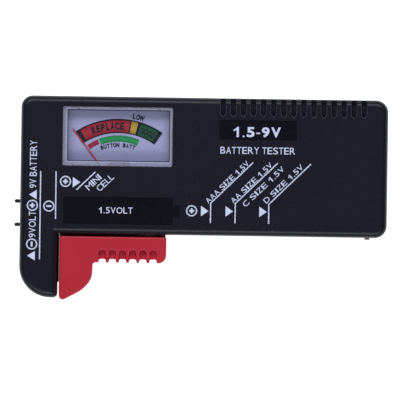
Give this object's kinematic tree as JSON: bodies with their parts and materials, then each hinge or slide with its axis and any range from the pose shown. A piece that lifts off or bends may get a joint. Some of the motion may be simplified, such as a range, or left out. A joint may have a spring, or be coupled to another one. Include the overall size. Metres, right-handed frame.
{
  "type": "battery tester",
  "caption": "Flat case with a windowed needle meter, a fixed and a sliding jaw that grip a round cell, and pin contacts on one end for a nine volt block.",
  "frame": {"origin": "middle of the whole outline, on the rear face", "axes": "+X along the case towards the end away from the jaw, +Y across the face towards the vent grooves, +Z out through the dial"},
  "size_m": [0.1123, 0.0614, 0.024],
  "materials": {
    "case_black": "finely textured black moulding",
    "jaw_red": "satin red moulding",
    "clear_cover": "clear moulded cover",
    "dial_print": "printed dial card",
    "needle_red": "red lacquer",
    "meter_tray": "black moulding",
    "screw_steel": "zinc plated",
    "nickel_plate": "nickel plated",
    "rail_brass": "plain brass",
    "magnet_grey": "cast magnet alloy",
    "soft_iron": "soft iron, zinc plated",
    "bridge_aluminium": "stamped sheet",
    "coil_copper": "enamelled copper wire",
    "pivot_steel": "hardened steel",
    "board_green": "laminate with lacquer",
    "resistor_body": "lacquered ceramic",
    "solder": "solder",
    "wire_black": "soft insulation",
    "wire_red": "soft insulation"
  },
  "bodies": {
    "case": {"board_screws": "screw_steel", "bridge_screws": "screw_steel", "case_screws": "screw_steel", "circuit_board": "board_green", "contact_rail": "rail_brass", "core_magnet": "magnet_grey", "dial_plate": "dial_print", "divider_resistors": "resistor_body", "front_shell": "case_black", "load_resistor": "resistor_body", "lower_hairspring": "rail_brass", "lower_jewel_screw": "rail_brass", "meter_base": "meter_tray", "meter_bridge": "bridge_aluminium", "meter_terminals": "rail_brass", "meter_window": "clear_cover", "negative_contact": "nickel_plate", "nine_volt_pin_negative": "nickel_plate", "nine_volt_pin_positive": "nickel_plate", "rail_rivet": "nickel_plate", "rear_shell": "case_black", "solder_joints": "solder", "spring_anchors": "rail_brass", "upper_hairspring": "rail_brass", "upper_jewel_screw": "rail_brass", "wire_jaw_negative": "wire_black", "wire_meter_negative": "wire_black", "wire_meter_positive": "wire_red", "wire_nine_volt_negative": "wire_black", "wire_nine_volt_positive": "wire_red", "wire_rail": "wire_red", "yoke_ring": "soft_iron"},
    "slider": {"slider": "jaw_red", "positive_contact": "nickel_plate", "wiper_spring": "rail_brass", "wiper_rivets": "rail_brass"},
    "movement": {"coil_former": "bridge_aluminium", "coil_winding": "coil_copper", "upper_pivot": "pivot_steel", "lower_pivot": "pivot_steel", "pointer": "needle_red", "balance_weights": "rail_brass"}
  },
  "joints": [
    {"name": "slider_slide", "type": "slide", "parent": "case", "child": "slider", "axis": [1, 0, 0], "range_m": [0, 0.0625]},
    {"name": "needle_swing", "type": "hinge", "parent": "case", "child": "movement", "pos_m": [-0.02515, 0.00313, 0.012], "axis": [0, 0, -1], "range_deg": [0, 75], "stiffness_Nm_per_rad": 0.00005}
  ]
}
